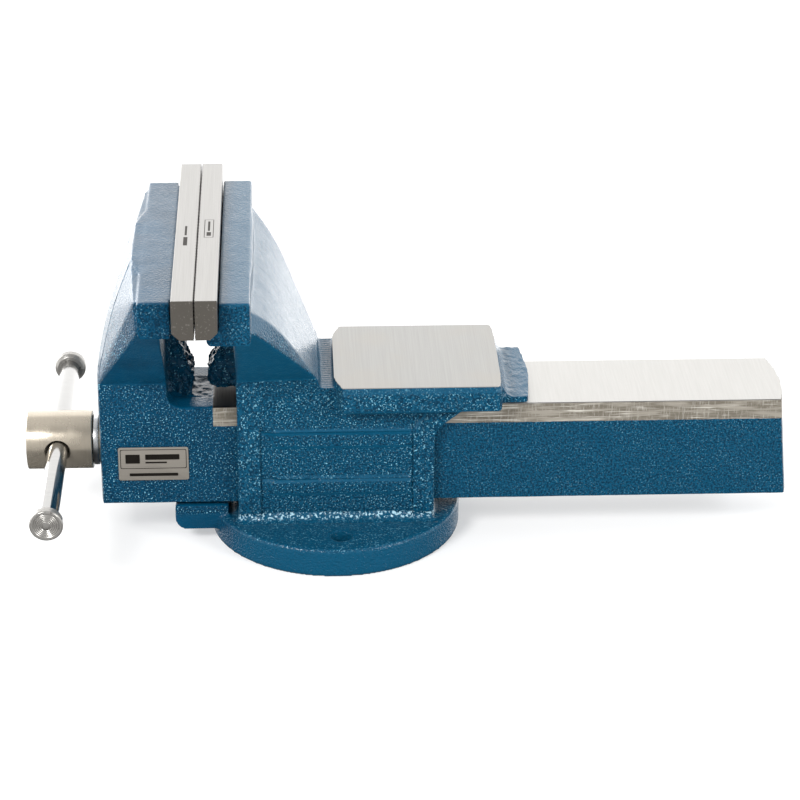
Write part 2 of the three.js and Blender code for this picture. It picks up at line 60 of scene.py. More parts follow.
CASTING = {"voxel": 0.95, "triangles": 190_000, "swell": 0.26, "lump": 0.07, "chip": 2.2, "shard": 1.3}
BASE = {"flange": (14.5, 17.3), "body": (17, 18.5), "foot": (17.2, 20.2), "reach": (-55, 56)}
HEADS = (140, 150)
ANVIL = {"front": -0.8, "back": 91.3, "top": 101.25}
PANEL = {
    "front": -41.2, "back": 42.4, "foot": 19, "brow": 74, "face": 30, "grooves": (69.9, 41.1),
    "deep": 1.2,
}
HOOD = {"front": 92, "back": 108.6}
SHELF = {"front": -8.2, "back": -1.6, "top": 98, "ridge": 2.9, "deep": 0.4}
BEAM = {
    "half": 27.7, "strip_half": 27.45, "milled": 72.5, "top": 84.3, "front": -67.8, "rib_back": -60,
    # oiled: the x range of the painted dark reflection and shade on the beam's top under the jaws
    "tail": 260, "painted_dark_reflection": (-140, -52),
}
TUNNEL = {"half": 28.6, "bottom": 24, "top": 85.2}
RIB = {"half": 12.5, "bottom": 84, "top": 151}
CREASE = {"z": (99, 123, 144, 172), "half": (27.7, 27, 26.6, 25), "back": -104, "deep": 1.1}
JAW_SEAT = {"fixed": -61.7, "moving": -86.4, "bottom": 150, "top": 170}
JAW_BODY = {"fixed": "vise_base", "moving": "moving_jaw"}

PLATE = {
    "half": 100, "thick": 11.85, "bottom": 157.3, "top": 179.4, "chamfer": 3.8, "parting": -74.03,
    "gap": 0.15, "eased": 0.45,
}
PLATE_MARKS = {
    "frame": (-70.6, -65.4, -13, 13), "line": 0.4,
    "bars": (
        (-69.2, -66.8, -10.6, -5.2), (-68.6, -67.4, -3.4, 10.4),
        (-81.6, -79.4, -24.0, -12.0), (-81.1, -79.9, -9.5, 4.0),
    ),
}
SERRATION = {"pitch": 2.2, "deep": 0.65, "slab": 2}
PLATE_SCREW = {
    "y": 62, "z": 166.5, "shank": 4, "hole": 4.4, "head": 6.2, "recess": 6.7, "deep": 6, "tip": 11.5,
    "socket": 3.2, "socket_deep": 3.5,
}

AXIS_Z = 52.5
HEAD = {
    "front": -173, "shoulder": -136.2, "radius": 16.5, "bore": 6.3, "bore_x": -155.5, "flare": 2.3,
    "throat": 14.8,
}
SHANK = {"radius": 13, "thread": 2, "thread_end": 230, "tip": 233.5, "neck": 9.6}
THREAD = {
    "lead": 6, "root": 10.4, "crest": 13, "section": ((0, 0), (0.13, 1), (0.5, 1), (0.63, 0)), "fade": 3,
}
COLLAR = {"front": -135.7, "back": -132.75, "radius": 14.5, "bore": 13.5}
SPRING = {"front": -105.2, "back": -70.4, "radius": 15.4, "wire": 1.5, "turns": 5}
CROSS_PIN = {"x": -64.8, "hole": 2.6}
BAR = {
    "radius": 5.8, "near": -97.8, "far": 94.3, "spigot": 3.2, "near_end": -104.5, "far_end": 101,
    "tip": 1.9, "rounded": 1.2,
}
KNOB = {"radius": 9, "thick": 6.5, "bore": 3.5, "gap": 0.3, "rings": 5, "round": 1.6, "groove": 0.5}
NAMEPLATE = {"corner": 1.2, "edge": 0.14, "line": 0.35, "inset": 1.1, "raise": 0.05, "split": 0.36}
KEPT_EDGE = 0.25

ENAMEL = {
    "blue": ((0.0003, 0.043, 0.092), (0.0006, 0.054, 0.114)),
    # behind: painted light, one enamel shown lighter behind the front block than on the moving jaw's head
    # and block
    "behind": (0.0025, 0.063, 0.124),
    # painted shade on patches of the orange peel
    "painted_peel_shade": (0.0002, 0.018, 0.042),
    # painted glints: the pale colour of the raised beads
    "bead_glint": (0.19, 0.46, 0.60),
    # foot: painted highlight, pale glints along the fillet at the body's foot
    "foot": (0.34, 0.54, 0.64),
}
FRONT_BLOCK = (-62, -50)

FLOOR = {"half": 9000, "steps": 12, "z": -0.2, "glow": 0.36}
SKY_LEVEL = 2.0
FRONT = {"fade": (-0.7, 0.15), "level": 0.3}
SWEEP = {"behind": (0.45, 0.75), "low": (-0.55, -0.38)}
SKY_STEPS = (
    (0.0, 0.03), (0.305, 0.03), (0.375, 0.75), (0.44, 0.95), (0.6, 1.0), (0.74, 0.92), (0.88, 0.5),
    (1.0, 0.42),
)


# ---- node trees ----
class Tree:
    """The node tree of a material or the sky, with a short call for each kind of node they share."""

    def __init__(self, owner, coordinates="Object"):
        owner.use_nodes = True
        self.owner = owner
        self.nodes = owner.node_tree.nodes
        self.links = owner.node_tree.links
        self.place = self.nodes.new("ShaderNodeTexCoord").outputs[coordinates]
        parts = self.nodes.new("ShaderNodeSeparateXYZ")
        self.links.new(self.place, parts.inputs[0])
        self.x, self.y, self.z = parts.outputs

    def feed(self, value, socket):
        """Links a socket to another, or sets its value; a tuple is a colour."""
        if isinstance(value, bpy.types.NodeSocket):
            self.links.new(value, socket)
        elif isinstance(value, tuple):
            socket.default_value = (*value, 1.0)
        else:
            socket.default_value = value

    def math(self, operation, a, b=0.0):
        """A sum, product or other operation on one or two numbers."""
        node = self.nodes.new("ShaderNodeMath")
        node.operation = operation
        self.feed(a, node.inputs[0])
        self.feed(b, node.inputs[1])
        return node.outputs[0]

    def ramp(self, value, low, high, to_low=0.0, to_high=1.0):
        """A smooth step of value from low to high."""
        node = self.nodes.new("ShaderNodeMapRange")
        node.interpolation_type = "SMOOTHSTEP"
        for given, socket in zip((value, low, high, to_low, to_high), node.inputs):
            self.feed(given, socket)
        return node.outputs[0]

    def between(self, value, low, high, soft=0.15):
        """1 where value, in metres, lies from low to high in millimetres."""
        rise = self.ramp(value, (low - soft) * MM, (low + soft) * MM)
        fall = self.ramp(value, (high - soft) * MM, (high + soft) * MM, 1.0, 0.0)
        return self.math("MULTIPLY", rise, fall)

    def both(self, *masks):
        """1 where every mask is 1."""
        made = masks[0]
        for mask in masks[1:]:
            made = self.math("MULTIPLY", made, mask)
        return made

    def either(self, *masks):
        """1 where any mask is 1."""
        made = masks[0]
        for mask in masks[1:]:
            made = self.math("MAXIMUM", made, mask)
        return made

    def stretched(self, x, y, z):
        """The place with each axis counted in lengths of x, y and z millimetres."""
        node = self.nodes.new("ShaderNodeMapping")
        self.links.new(self.place, node.inputs["Vector"])
        node.inputs["Scale"].default_value = (1 / (x * MM), 1 / (y * MM), 1 / (z * MM))
        return node.outputs[0]

    def noise(self, size, detail=2.0, roughness=0.5, place=None):
        """Soft noise about 0.5, its lumps `size` millimetres across."""
        node = self.nodes.new("ShaderNodeTexNoise")
        self.links.new(place or self.stretched(size, size, size), node.inputs["Vector"])
        node.inputs["Scale"].default_value = 1.0
        node.inputs["Detail"].default_value = detail
        node.inputs["Roughness"].default_value = roughness
        return node.outputs["Fac"]

    def mix(self, factor, a, b):
        """A blend of two numbers."""
        node = self.nodes.new("ShaderNodeMix")
        for given, slot in ((factor, 0), (a, 2), (b, 3)):
            self.feed(given, node.inputs[slot])
        return node.outputs[0]

    def colour(self, factor, a, b):
        """A blend of two colours."""
        node = self.nodes.new("ShaderNodeMix")
        node.data_type = "RGBA"
        for given, slot in ((factor, 0), (a, 6), (b, 7)):
            self.feed(given, node.inputs[slot])
        return node.outputs[2]

    def bump(self, height, deep, strength=1.0, under=None):
        """A normal from a height of 0 to 1 that stands for `deep` millimetres."""
        node = self.nodes.new("ShaderNodeBump")
        node.inputs["Distance"].default_value = deep * MM
        self.feed(strength, node.inputs["Strength"])
        self.feed(height, node.inputs["Height"])
        if under:
            self.links.new(under, node.inputs["Normal"])
        return node.outputs[0]

    def shade(self, **sockets):
        """Feeds the shader's sockets, named with _ for a space, and gives back the material."""
        shader = self.nodes["Principled BSDF"]
        for name, value in sockets.items():
            self.feed(value, shader.inputs[name.replace("_", " ")])
        return self.owner


def material_tree(name):
    """The tree of a new material."""
    return Tree(bpy.data.materials.new(name))


# ---- materials ----
def bead_places(tree, calm, shown):
    """How many beads a spot may hold: patchy, and fewer beyond x = calm and on the heads."""
    patches = tree.ramp(tree.noise(11, 3), 0.36, 0.64, 0.3, 1.0)
    drawn_out = tree.ramp(tree.x, calm * MM, (calm + 20) * MM, 1.0, 0.3)
    heads = tree.ramp(tree.z, HEADS[0] * MM, HEADS[1] * MM, 1.0, 0.4)
    return tree.both(patches, drawn_out, heads, shown)


def hammered(tree, standing):
    """1 where the enamel's pattern shows: on upright faces, and about half on the base's flange."""
    body = tree.ramp(tree.z, BASE["body"][0] * MM, BASE["body"][1] * MM)
    lying = tree.math("MULTIPLY", tree.math("SUBTRACT", 1.0, standing), 0.55)
    flange = tree.both(tree.between(tree.z, *BASE["flange"], 0.5), lying)
    return tree.math("MAXIMUM", tree.both(standing, body), flange)


def enamel_blue(tree, shown, peel, beads):
    """The enamel's colour: blue, painted a little lighter behind the front block, with painted shade on
    patches of the peel, painted glints on the beads and a painted highlight along the body's foot.
    """
    base = tree.colour(tree.ramp(tree.noise(26, 3), 0.35, 0.65), *ENAMEL["blue"])
    # Painted light and shade: one enamel, painted darker on the moving jaw's head and front block and
    # lighter behind them.
    behind = tree.ramp(tree.x, FRONT_BLOCK[0] * MM, FRONT_BLOCK[1] * MM)
    base = tree.colour(behind, base, ENAMEL["behind"])
    # Painted shade: the enamel darkens on patches of the orange peel.
    painted_peel_shade = tree.ramp(peel, 0.40, 0.62, 0.0, 0.8)
    dark = tree.colour(tree.both(shown, painted_peel_shade), base, ENAMEL["painted_peel_shade"])
    # Painted highlight: pale glints in patches along the body's foot, where its fillet meets the base.
    foot = tree.both(tree.between(tree.z, *BASE["foot"], 0.6), tree.between(tree.x, *BASE["reach"]))
    runs = tree.both(tree.ramp(tree.noise(1.5, 1), 0.52, 0.64), foot)
    # Painted glints: the raised beads are pale in colour as well.
    return tree.colour(runs, tree.colour(beads, dark, ENAMEL["bead_glint"]), ENAMEL["foot"])


def enamel(tree, calm, standing):
    """Hammered blue enamel, an orange-peel with beads, as a colour with painted shade and glints, and a
    height.
    """
    peel = tree.noise(1.15, 1)
    shown = hammered(tree, standing)
    beads = tree.both(tree.ramp(tree.noise(0.95, 1), 0.585, 0.70), bead_places(tree, calm, shown))
    ripple = tree.math("ADD", peel, tree.math("MULTIPLY", tree.noise(0.65, 1), 0.35))
    height = tree.math("ADD", ripple, tree.math("MULTIPLY", beads, 0.5))
    return enamel_blue(tree, shown, peel, beads), height


def upright(tree):
    """1 on faces that stand up, where the enamel has run into beads, and 0 on the others."""
    normal = tree.nodes.new("ShaderNodeNewGeometry").outputs["Normal"]
    parts = tree.nodes.new("ShaderNodeSeparateXYZ")
    tree.feed(normal, parts.inputs[0])
    return tree.ramp(tree.math("ABSOLUTE", parts.outputs[2]), 0.1, 0.45, 1.0, 0.0)


def brushed(tree, across, line, long):
    """Lines `line` millimetres apart along the axis `across` and `long` in length, about 0.5."""
    sizes = [long, long, long]
    sizes["xyz".index(across)] = line
    return tree.noise(1, 3, 0.6, tree.stretched(*sizes))


def casting_material(tree, calm, bare, bare_colour, metallic, roughness, lines):
    """Enamel over a casting, with machined metal in `lines` where `bare` is 1."""
    standing = upright(tree)
    paint_colour, paint_height = enamel(tree, calm, standing)
    painted = tree.math("SUBTRACT", 1.0, bare)
    rough = tree.math("MULTIPLY", painted, tree.mix(standing, 0.28, 0.8))
    paint = tree.bump(paint_height, 1.0, rough)
    normal = tree.bump(lines, 0.03, bare, paint)
    gloss = tree.ramp(tree.noise(5, 2), 0.3, 0.7, 0.3, 0.42)
    return tree.shade(
        Base_Color=tree.colour(bare, paint_colour, bare_colour),
        Metallic=tree.math("MULTIPLY", bare, metallic),
        Roughness=tree.mix(bare, gloss, roughness),
        Specular_IOR_Level=0.08,
        Coat_Weight=tree.both(painted, tree.mix(standing, 1.0, 0.4)),
        Coat_Roughness=0.08,
        Coat_IOR=1.27,
        Normal=normal,
        Coat_Normal=normal,
    )


def wobbled(tree, value, size, reach):
    """A place value shifted a little by noise, for an edge that paint or a cutter leaves."""
    shift = tree.math("MULTIPLY", tree.math("SUBTRACT", tree.noise(size, 2), 0.5), reach * MM)
    return tree.math("ADD", value, shift)


def ground_faces(tree):
    """1 on the fixed casting's anvil top, its underside and the tunnel round the beam."""
    anvil = tree.both(
        tree.between(tree.z, ANVIL["top"] - 0.35, ANVIL["top"] + 1, 0.08),
        tree.between(tree.x, ANVIL["front"] - 0.6, ANVIL["back"] + 0.6),
    )
    underside = tree.between(tree.z, -1, 0.25, 0.1)
    bore = tree.both(
        tree.between(tree.y, -TUNNEL["half"] + 0.2, TUNNEL["half"] - 0.2),
        tree.between(tree.z, TUNNEL["bottom"] + 0.3, TUNNEL["top"] - 0.3),
    )
    return tree.either(anvil, underside, bore)


def fixed_casting_material():
    """The fixed casting: enamel, and ground iron with faint stains."""
    tree = material_tree("enamel_and_ground_iron")
    lines = brushed(tree, "x", 0.5, 60)
    stains = tree.ramp(tree.noise(30, 3), 0.45, 0.7, 0.0, 0.5)
    iron = tree.colour(lines, (0.290, 0.286, 0.274), (0.398, 0.393, 0.380))
    iron = tree.colour(stains, iron, (0.36, 0.34, 0.31))
    return casting_material(tree, 110, ground_faces(tree), iron, 1.0, 0.42, lines)


def milled_faces(tree):
    """1 on the milled top and upper sides of the beam."""
    return tree.both(
        tree.between(wobbled(tree, tree.z, 3, 0.5), BEAM["milled"], BEAM["top"] + 1),
        tree.between(tree.x, BEAM["front"], BEAM["tail"]),
        tree.between(tree.y, -BEAM["half"] - 1, BEAM["half"] + 1),
    )


def milled_top(tree, lines):
    """The colour of the beam's top: bright, and darkened under the jaws by a painted reflection of the
    dark jaws and painted shade.
    """
    bright = tree.colour(lines, (0.423, 0.414, 0.396), (0.513, 0.504, 0.486))
    # Painted reflection and shade: the top is painted dark under and between the jaws, where it mirrors
    # the dark jaws and lies in their shade.
    painted_dark_reflection = tree.colour(lines, (0.03, 0.03, 0.03), (0.14, 0.13, 0.12))
    return tree.colour(tree.between(tree.x, *BEAM["painted_dark_reflection"], 2), bright, painted_dark_reflection)


def milled_side(tree):
    """The colour of the beam's upper sides: brown and streaked, with bright scratches."""
    ticks = tree.ramp(brushed(tree, "x", 0.7, 6), 0.5, 0.7)
    brown = tree.colour(ticks, (0.135, 0.12, 0.096), (0.26, 0.243, 0.212))
    streaks = tree.ramp(brushed(tree, "z", 2.2, 26), 0.42, 0.62)
    worn = tree.colour(streaks, brown, (0.25, 0.23, 0.195))
    scratches = tree.ramp(brushed(tree, "z", 0.8, 22), 0.56, 0.74)
    return tree.colour(scratches, worn, (0.62, 0.60, 0.54))


def moving_casting_material():
    """The moving casting: enamel, and a milled beam that is metallic on top alone."""
    tree = material_tree("enamel_and_milled_iron")
    lines = brushed(tree, "x", 0.9, 30)
    top = tree.between(tree.z, BEAM["top"] - 0.5, BEAM["top"] + 1, 0.2)
    iron = tree.colour(top, milled_side(tree), milled_top(tree, lines))
    return casting_material(tree, 10, milled_faces(tree), iron, top, 0.4, lines)


def metal(tree, marks, dark, light, roughness, deep=0.02, spots=0.0, metallic=1.0):
    """A bare metal whose marks, from 0 to 1, shift its colour and height."""
    patches = tree.ramp(tree.noise(9, 3), 0.4, 0.7, 0.0, 1.0)
    colour = tree.colour(marks, dark, light)
    if spots:
        freckles = tree.ramp(tree.noise(1.3, 2), 0.6, 0.75, 0.0, spots)
        colour = tree.colour(freckles, colour, tuple(0.45 * part for part in dark))
    low, high = roughness
    return tree.shade(
        Base_Color=colour,
        Metallic=metallic,
        Roughness=tree.mix(patches, low, high),
        Normal=tree.bump(marks, deep),
    )


def patch(tree, x0, x1, y0, y1):
    """1 on a sharp rectangle seen from above."""
    return tree.both(tree.between(tree.x, x0, x1, 0.06), tree.between(tree.y, y0, y1, 0.06))


def plate_marks(tree):
    """1 on the plain bars and the line frame on the jaw plates' tops."""
    x0, x1, y0, y1 = PLATE_MARKS["frame"]
    line = PLATE_MARKS["line"]
    inner = patch(tree, x0 + line, x1 - line, y0 + line, y1 - line)
    frame_line = tree.math("SUBTRACT", patch(tree, x0, x1, y0, y1), inner)
    bars = tree.either(*(patch(tree, *bar) for bar in PLATE_MARKS["bars"]))
    top = tree.between(tree.z, PLATE["top"] - 0.3, PLATE["top"] + 1, 0.1)
    return tree.both(tree.either(frame_line, bars), top)


def plate_material():
    """Ground steel for the jaw plates, sawn and freckled at their ends."""
    tree = material_tree("ground_steel")
    lines = brushed(tree, "x", 0.3, 50)
    half = PLATE["half"]
    ends = tree.ramp(tree.math("ABSOLUTE", tree.y), (half - 0.7) * MM, (half - 0.1) * MM)
    ground = tree.colour(lines, (0.287, 0.278, 0.267), (0.43, 0.42, 0.404))
    specks = tree.ramp(tree.noise(1.2, 2), 0.62, 0.72, 0.0, 1.0)
    sawn = tree.colour(specks, (0.088, 0.080, 0.069), (0.165, 0.152, 0.135))
    body = tree.colour(ends, ground, sawn)
    etched = plate_marks(tree)
    return tree.shade(
        Base_Color=tree.colour(etched, body, (0.06, 0.055, 0.05)),
        Metallic=tree.mix(ends, 0.95, 0.3),
        Roughness=tree.mix(etched, 0.36, 0.6),
        Normal=tree.bump(lines, 0.025),
    )


def turned_rings(tree, pitch):
    """Rings about the handle's bar, on faces and sides alike."""
    across = tree.math("SUBTRACT", tree.x, HEAD["bore_x"] * MM)
    up = tree.math("SUBTRACT", tree.z, AXIS_Z * MM)
    squares = tree.math("ADD", tree.math("MULTIPLY", across, across), tree.math("MULTIPLY", up, up))
    radius = tree.math("DIVIDE", tree.math("SQRT", squares), pitch * MM)
    place = tree.nodes.new("ShaderNodeCombineXYZ")
    tree.feed(radius, place.inputs[0])
    tree.feed(tree.math("DIVIDE", tree.y, pitch * MM), place.inputs[1])
    return tree.noise(1, 3, 0.6, place.outputs[0])


def satin_nickel():
    """The spindle's head and shank, turned and thinly plated."""
    tree = material_tree("satin_nickel")
    marks = brushed(tree, "x", 0.25, 30)
    return metal(tree, marks, (0.42, 0.37, 0.295), (0.58, 0.52, 0.43), (0.22, 0.30), metallic=0.75)


def turned_screw():
    """The spindle's thread, dulled by use."""
    tree = material_tree("turned_screw")
    marks = brushed(tree, "x", 0.4, 12)
    return metal(tree, marks, (0.22, 0.21, 0.19), (0.46, 0.44, 0.41), (0.3, 0.45), spots=0.5)


def chrome():
    """The handle's polished bar."""
    tree = material_tree("chrome")
    marks = brushed(tree, "y", 0.8, 25)
    return metal(tree, marks, (0.335, 0.33, 0.325), (0.43, 0.425, 0.415), (0.10, 0.18), deep=0.008)


def turned_steel():
    """The knobs and the bar's riveted tips."""
    tree = material_tree("turned_steel")
    marks = turned_rings(tree, 0.4)
    dark, light = (0.13, 0.122, 0.11), (0.56, 0.545, 0.52)
    return metal(tree, marks, dark, light, (0.22, 0.34), deep=0.05, spots=0.6, metallic=0.6)


def black_oxide():
    """Blackened screws and bolts."""
    tree = material_tree("black_oxide")
    marks = tree.noise(0.8, 3)
    return metal(tree, marks, (0.018, 0.018, 0.02), (0.035, 0.035, 0.038), (0.36, 0.5))


def zinc_plate():
    """Plated washers and the thrust collar."""
    tree = material_tree("zinc_plate")
    marks = tree.noise(1.1, 3)
    return metal(tree, marks, (0.52, 0.53, 0.54), (0.68, 0.69, 0.70), (0.26, 0.38))


def cast_iron():
    """The nut block, left as cast."""
    tree = material_tree("cast_iron")
    marks = tree.noise(1.6, 4)
    return metal(tree, marks, (0.07, 0.07, 0.072), (0.12, 0.12, 0.125), (0.55, 0.7), deep=0.1)


def spring_steel():
    """The return spring and the cross pin."""
    tree = material_tree("spring_steel")
    marks = brushed(tree, "x", 0.3, 5)
    return metal(tree, marks, (0.12, 0.12, 0.13), (0.22, 0.22, 0.23), (0.26, 0.4))


def brushed_label():
    """The nameplate's sheet."""
    tree = material_tree("brushed_label")
    marks = brushed(tree, "z", 0.25, 40)
    return metal(tree, marks, (0.215, 0.195, 0.168), (0.315, 0.292, 0.258), (0.38, 0.46), metallic=0.4)


def etched_ink():
    """The nameplate's dark frame line and bars."""
    tree = material_tree("etched_ink")
    marks = tree.noise(0.6, 2)
    return metal(tree, marks, (0.030, 0.026, 0.023), (0.055, 0.048, 0.042), (0.5, 0.6))


def materials():
    """Every metal but the castings', by name."""
    return {
        "plate": plate_material(), "nickel": satin_nickel(), "thread": turned_screw(), "chrome": chrome(),
        "knob": turned_steel(), "oxide": black_oxide(), "zinc": zinc_plate(), "iron": cast_iron(),
        "spring": spring_steel(), "label": brushed_label(), "etch": etched_ink(),
    }


# ---- mesh helpers ----
def stand(name, mesh):
    """A new object in the scene for a mesh."""
    piece = bpy.data.objects.new(name, mesh)
    bpy.context.scene.collection.objects.link(piece)
    return piece


def settle(piece):
    """Makes a piece's modifiers part of its mesh."""
    graph = bpy.context.evaluated_depsgraph_get()
    mesh = bpy.data.meshes.new_from_object(piece.evaluated_get(graph))
    piece.modifiers.clear()
    piece.data = mesh
    return piece


def weld(mesh, reach=0.002):
    """Merges points that meet and turns every face outwards."""
    work = bmesh.new()
    work.from_mesh(mesh)
    bmesh.ops.remove_doubles(work, verts=work.verts, dist=reach * MM)
    bmesh.ops.dissolve_degenerate(work, edges=work.edges, dist=reach * MM)
    bmesh.ops.recalc_face_normals(work, faces=work.faces)
    work.to_mesh(mesh)
    work.free()


def solid(name, vertices, faces):
    """A closed object from points in millimetres."""
    mesh = bpy.data.meshes.new(name)
    mesh.from_pydata([Vector(point) * MM for point in vertices], [], faces)
    weld(mesh)
    return stand(name, mesh)


def shade(mesh, sharp=38):
    """Smooth shading, broken at edges over `sharp` degrees."""
    mesh.shade_smooth()
    mesh.set_sharp_from_angle(angle=math.radians(sharp))


def combine(piece, tool, operation="DIFFERENCE"):
    """Joins or cuts a piece with a tool, which is used up."""
    cut = piece.modifiers.new("cut", "BOOLEAN")
    cut.operation = operation
    cut.solver = "EXACT"
    cut.object = tool
    settle(piece)
    bpy.data.objects.remove(tool)
    return piece


def dress(piece, body, slot, materials_used, *nodes, sharp=38):
    """Gives a piece its materials and its body and hides the CAD nodes that it stands for; its slot is
    not used.
    """
    shade(piece.data, sharp)
    indices = [face.material_index for face in piece.data.polygons]
    piece.data.materials.clear()
    for material in materials_used:
        piece.data.materials.append(material)
    kept = [min(index, len(materials_used) - 1) for index in indices]
    piece.data.polygons.foreach_set("material_index", kept)
    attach(piece, body)
    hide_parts(*nodes)
    return piece


def eased(profile, reach=0.5, steps=3):
    """The profile with each inner corner rounded, starting `reach` away from it."""
    points = [Vector(point) for point in profile]
    made = [points[0]]
    for before, corner, after in zip(points, points[1:], points[2:]):
        back = before - corner
        on = after - corner
        cut = min(reach, back.length * 0.45, on.length * 0.45)
        start = corner + back.normalized() * cut
        end = corner + on.normalized() * cut
        for step in range(steps + 1):
            t = step / steps
            made.append(start * (1 - t) ** 2 + corner * 2 * t * (1 - t) + end * t ** 2)
    return [tuple(point) for point in made + [points[-1]]]


def band(first, second):
    """Faces between two rings of points, either of which may be a single point."""
    count = max(len(first), len(second))
    faces = []
    for k in range(count):
        on = (k + 1) % count
        near = [first[k % len(first)], first[on % len(first)]]
        far = [second[on % len(second)], second[k % len(second)]]
        faces.append(tuple(dict.fromkeys(near + far)))
    return faces


def circle(x, y, radius, sides):
    """A round outline."""
    angles = [FULL_TURN * k / sides for k in range(sides)]
    return [(x + radius * math.cos(angle), y + radius * math.sin(angle)) for angle in angles]


def turned(profile, axis, centre, sides=96):
    """The points and faces of a solid of revolution about X or Y.

    The profile holds (distance along the axis, radius) pairs, and centre is the axis's other two places.
    """
    vertices = []
    rings = []
    for along, radius in profile:
        count = sides if radius > 0 else 1
        rings.append(range(len(vertices), len(vertices) + count))
        for u, v in circle(*centre, radius, count):
            vertices.append((along, u, v) if axis == "X" else (u, along, v))
    faces = [face for first, second in zip(rings, rings[1:]) for face in band(first, second)]
    return vertices, faces


def joined(*parts):
    """Several lists of points and faces as one."""
    vertices = []
    faces = []
    for points, sides in parts:
        faces += [tuple(index + len(vertices) for index in face) for face in sides]
        vertices += points
    return vertices, faces


def prism(section, low, high, axis="Y"):
    """The points and faces of a straight bar: section holds (x, z) for Y, or (x, y) for Z."""
    ends = [
        [(a, level, b) if axis == "Y" else (a, b, level) for a, b in section] for level in (low, high)
    ]
    count = len(section)
    walls = [(k, (k + 1) % count, (k + 1) % count + count, k + count) for k in range(count)]
    return ends[0] + ends[1], walls + [tuple(range(count)), tuple(range(count, 2 * count))]


def points_of(mesh):
    """A mesh's points in millimetres and the way out at each."""
    places = np.empty(len(mesh.vertices) * 3, np.float32)
    mesh.vertices.foreach_get("co", places)
    outward = np.empty(len(mesh.vertices) * 3, np.float32)
    mesh.vertex_normals.foreach_get("vector", outward)
    return places.reshape(-1, 3) / MM, outward.reshape(-1, 3)


def set_points(mesh, places):
    """Moves a mesh's points to places in millimetres."""
    mesh.vertices.foreach_set("co", (places * MM).astype(np.float32).ravel())
    mesh.update()


def grain(places, size, offset=0.0):
    """Soft noise from -1 to 1 at each place, its lumps `size` millimetres across."""
    aside = Vector((offset, 0, 0))
    return np.array([noise.noise(Vector(place) / size + aside) for place in places])


def window(values, low, high, soft=2.0):
    """1 where values lie from low to high, falling to 0 over `soft` outside."""
    rise = np.clip((values - low) / soft + 1, 0, 1)
    fall = np.clip((high - values) / soft + 1, 0, 1)
    return rise * fall


# ---- castings ----
def casting(name, node, work):
    """A CAD node's surface remeshed with eased corners, then worked on by `work`."""
    piece = stand(name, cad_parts[node].data.copy())
    piece.data.materials.clear()
    weld(piece.data)
    remesh = piece.modifiers.new("remesh", "REMESH")
    remesh.mode = "VOXEL"
    remesh.voxel_size = CASTING["voxel"] * MM
    ease = piece.modifiers.new("ease", "SMOOTH")
    ease.factor = 0.5
    ease.iterations = 2
    settle(piece)
    set_points(piece.data, work(*points_of(piece.data)))
    triangles = sum(len(face.vertices) - 2 for face in piece.data.polygons)
    if triangles > CASTING["triangles"]:
        thin = piece.modifiers.new("thin", "DECIMATE")
        thin.ratio = CASTING["triangles"] / triangles
        settle(piece)
    return piece


def sunk(places, outward, flat):
    """The places sunk by a casting's lumps, except where flat is 1."""
    swells = CASTING["swell"] * (1 - grain(places, 17)) / 2
    lumps = CASTING["lump"] * (1 - grain(places, 5, 7)) / 2
    x, y, z = places.T
    ragged = window(np.abs(y), 0, RIB["half"], 1.5) * window(z, RIB["bottom"], RIB["top"], 3)
    ragged = ragged * window(x, -112, -46, 3) * np.where(outward[:, 2] < 0.6, 1.0, 0.4)
    chips = 1 - np.abs(grain(places, 5.2, 3))
    shards = 1 - np.abs(grain(places * (1, 1, 0.6), 2.6, 5))
    rough = ragged * (CASTING["chip"] * chips ** 2 + CASTING["shard"] * shards ** 2)
    return places - outward * ((swells + lumps + rough) * (1 - flat))[:, None]


def panel_grooves(places):
    """How deep the grooves round the body's side panels lie."""
    x, y, z = places.T
    on_side = np.abs(y) > PANEL["face"]
    across = on_side * window(x, PANEL["front"], PANEL["back"], 0.6)
    across = across * sum(window(z, level - 0.35, level + 0.35, 0.55) for level in PANEL["grooves"])
    edges = sum(window(x, PANEL[end] - 0.3, PANEL[end] + 0.3, 0.6) for end in ("front", "back"))
    tall = edges * on_side * window(z, PANEL["foot"], PANEL["brow"], 1)
    return PANEL["deep"] * np.clip(across + tall, 0, 1) * (1 + 0.4 * grain(places, 6, 13))


def foot_runs(places):
    """How deep the ragged runs along the body's foot lie."""
    x, y, z = places.T
    foot = window(z, 16, 20.5, 0.8) * window(np.abs(y), 29, 38, 1) * window(x, -54, 56, 1)
    return foot * 1.1 * (1 - np.abs(grain(places * (1, 1, 0.7), 3.2, 17))) ** 2


def hood_folds(places, outward):
    """How deep the folds on top of the hood lie."""
    x, y, z = places.T
    hood = window(x, HOOD["front"], HOOD["back"], 0.6) * window(z, 88, 92.5, 0.8) * (outward[:, 2] > 0.5)
    folds = 1 - np.abs(grain(places * (1.6, 0.45, 1), 3.4, 11))
    return hood * 0.5 * folds ** 3


def shelf_ridges(places, outward):
    """How deep the fine ridges across the shelf before the anvil lie."""
    x, y, z = places.T
    top = SHELF["top"]
    shelf = window(x, SHELF["front"], SHELF["back"], 0.8) * (outward[:, 2] > 0.6)
    shelf = shelf * window(z, top - 1.5, top + 1, 0.5)
    return shelf * SHELF["deep"] * (1 + np.cos(FULL_TURN * y / SHELF["ridge"])) / 2


def seat(x, z, front, back):
    """1 on the machined seat behind a jaw plate."""
    return window(x, front, back, 0.3) * window(z, JAW_SEAT["bottom"], JAW_SEAT["top"], 1)


